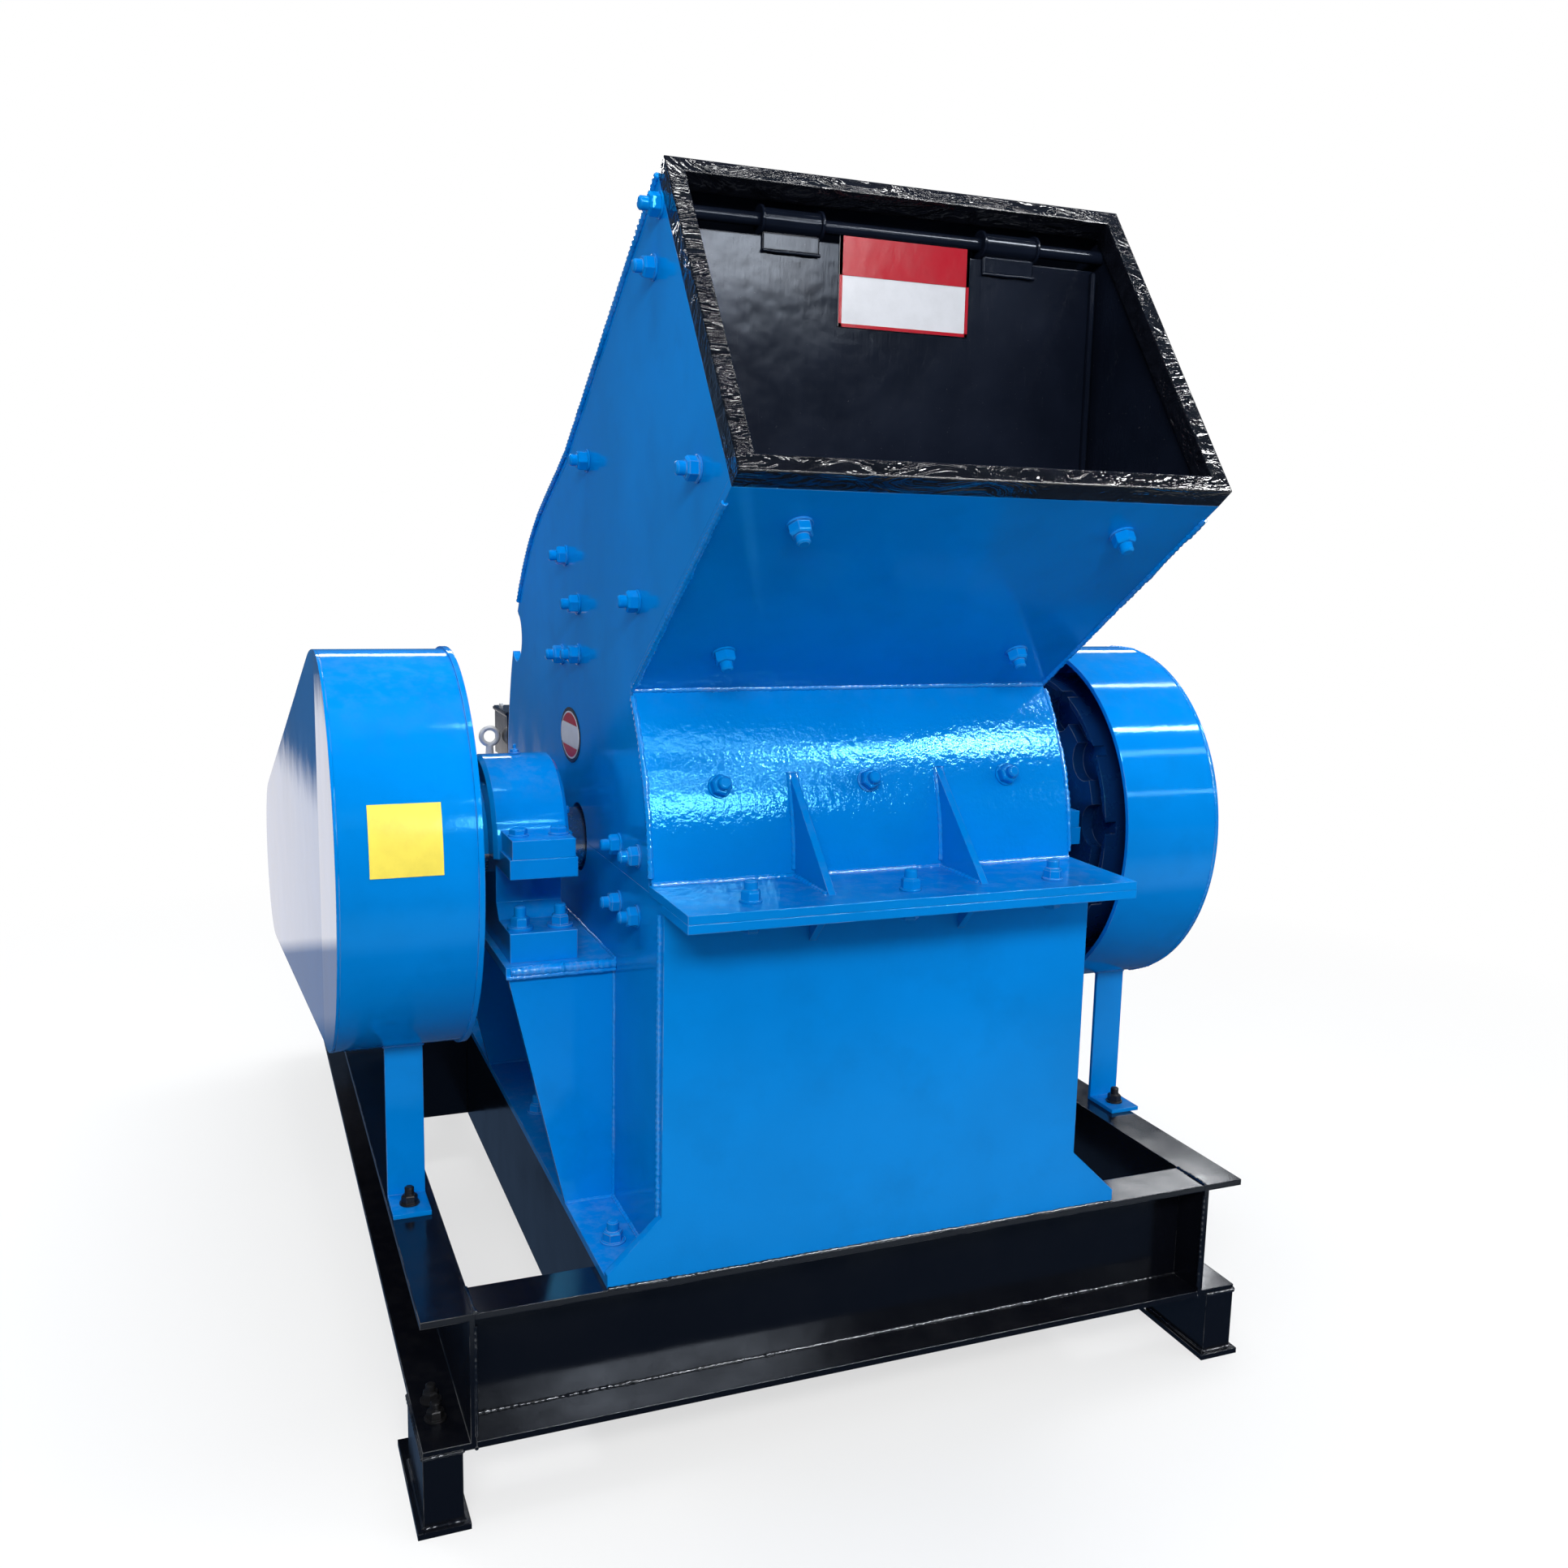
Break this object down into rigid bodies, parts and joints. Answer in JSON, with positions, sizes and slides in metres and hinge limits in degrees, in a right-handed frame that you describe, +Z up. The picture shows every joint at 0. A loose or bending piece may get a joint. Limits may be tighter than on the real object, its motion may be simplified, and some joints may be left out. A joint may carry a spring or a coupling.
{
  "type": "hammer crusher",
  "caption": "Stone hammer crusher on a channel-steel skid: inclined feed hopper with a swinging flap, split casing, hammer rotor with flywheel, guarded belt drive and motor.",
  "frame": {"origin": "on the floor, in the middle of the four corner anchor holes of the skid", "axes": "+X across the machine to the flywheel side, +Y from the feed hopper to the motor, +Z up"},
  "size_m": [1.6712, 2.405, 2.02],
  "materials": {
    "blue_paint": "gloss",
    "black_paint": "gloss",
    "dark_steel": "satin",
    "machined_steel": "brushed",
    "cast_steel": "as cast",
    "pulley_iron": "satin",
    "belt_rubber": "matte"
  },
  "bodies": {
    "root": {"base_cross_beam": "black_paint", "base_feet": "black_paint", "base_front_beam": "black_paint", "base_inner_beam_left": "black_paint", "base_inner_beam_right": "black_paint", "base_rear_beam": "black_paint", "base_side_beam_left": "black_paint", "base_side_beam_right": "black_paint", "bearing_base_left": "blue_paint", "bearing_base_right": "blue_paint", "bearing_cap_left": "blue_paint", "bearing_cap_right": "blue_paint", "bearing_pedestal_left": "blue_paint", "bearing_pedestal_right": "blue_paint", "belt_guard_leg": "blue_paint", "belt_guard_outer_plate": "blue_paint", "belt_guard_rim": "blue_paint", "flap_hinge_bar": "dark_steel", "flywheel_guard": "blue_paint", "flywheel_guard_leg": "blue_paint", "grate": "cast_steel", "hopper_front_plate": "blue_paint", "hopper_rear_plate": "blue_paint", "hopper_rim": "black_paint", "lower_front_plate": "blue_paint", "lower_rear_plate": "blue_paint", "lower_side_left": "blue_paint", "lower_side_right": "blue_paint", "lower_split_flange": "blue_paint", "motor_body": "blue_paint", "motor_fan_cowl": "blue_paint", "motor_pulley": "pulley_iron", "motor_rail_back": "black_paint", "motor_rail_front": "black_paint", "motor_terminal_box": "black_paint", "rear_arc_cover": "blue_paint", "rear_door": "blue_paint", "side_liners": "cast_steel", "upper_front_arc": "blue_paint", "upper_side_left": "blue_paint", "upper_side_right": "blue_paint", "upper_split_flange": "blue_paint", "v_belts": "belt_rubber"},
    "rotor": {"drive_pulley": "pulley_iron", "flywheel": "pulley_iron", "hammer_pins": "machined_steel", "hammer_row_1": "cast_steel", "hammer_row_2": "cast_steel", "hammer_row_3": "cast_steel", "hammer_row_4": "cast_steel", "rotor_discs": "cast_steel", "rotor_shaft": "machined_steel"},
    "flap": {"feed_flap": "dark_steel"}
  },
  "joints": [
    {"name": "rotor_spin", "type": "hinge", "parent": "root", "child": "rotor", "pos_m": [0, -0.51, 0.95], "axis": [1, 0, 0], "continuous": true},
    {"name": "flap_swing", "type": "hinge", "parent": "root", "child": "flap", "pos_m": [0, -1.00912, 1.95025], "axis": [1, 0, 0], "range_deg": [0, 50]}
  ]
}
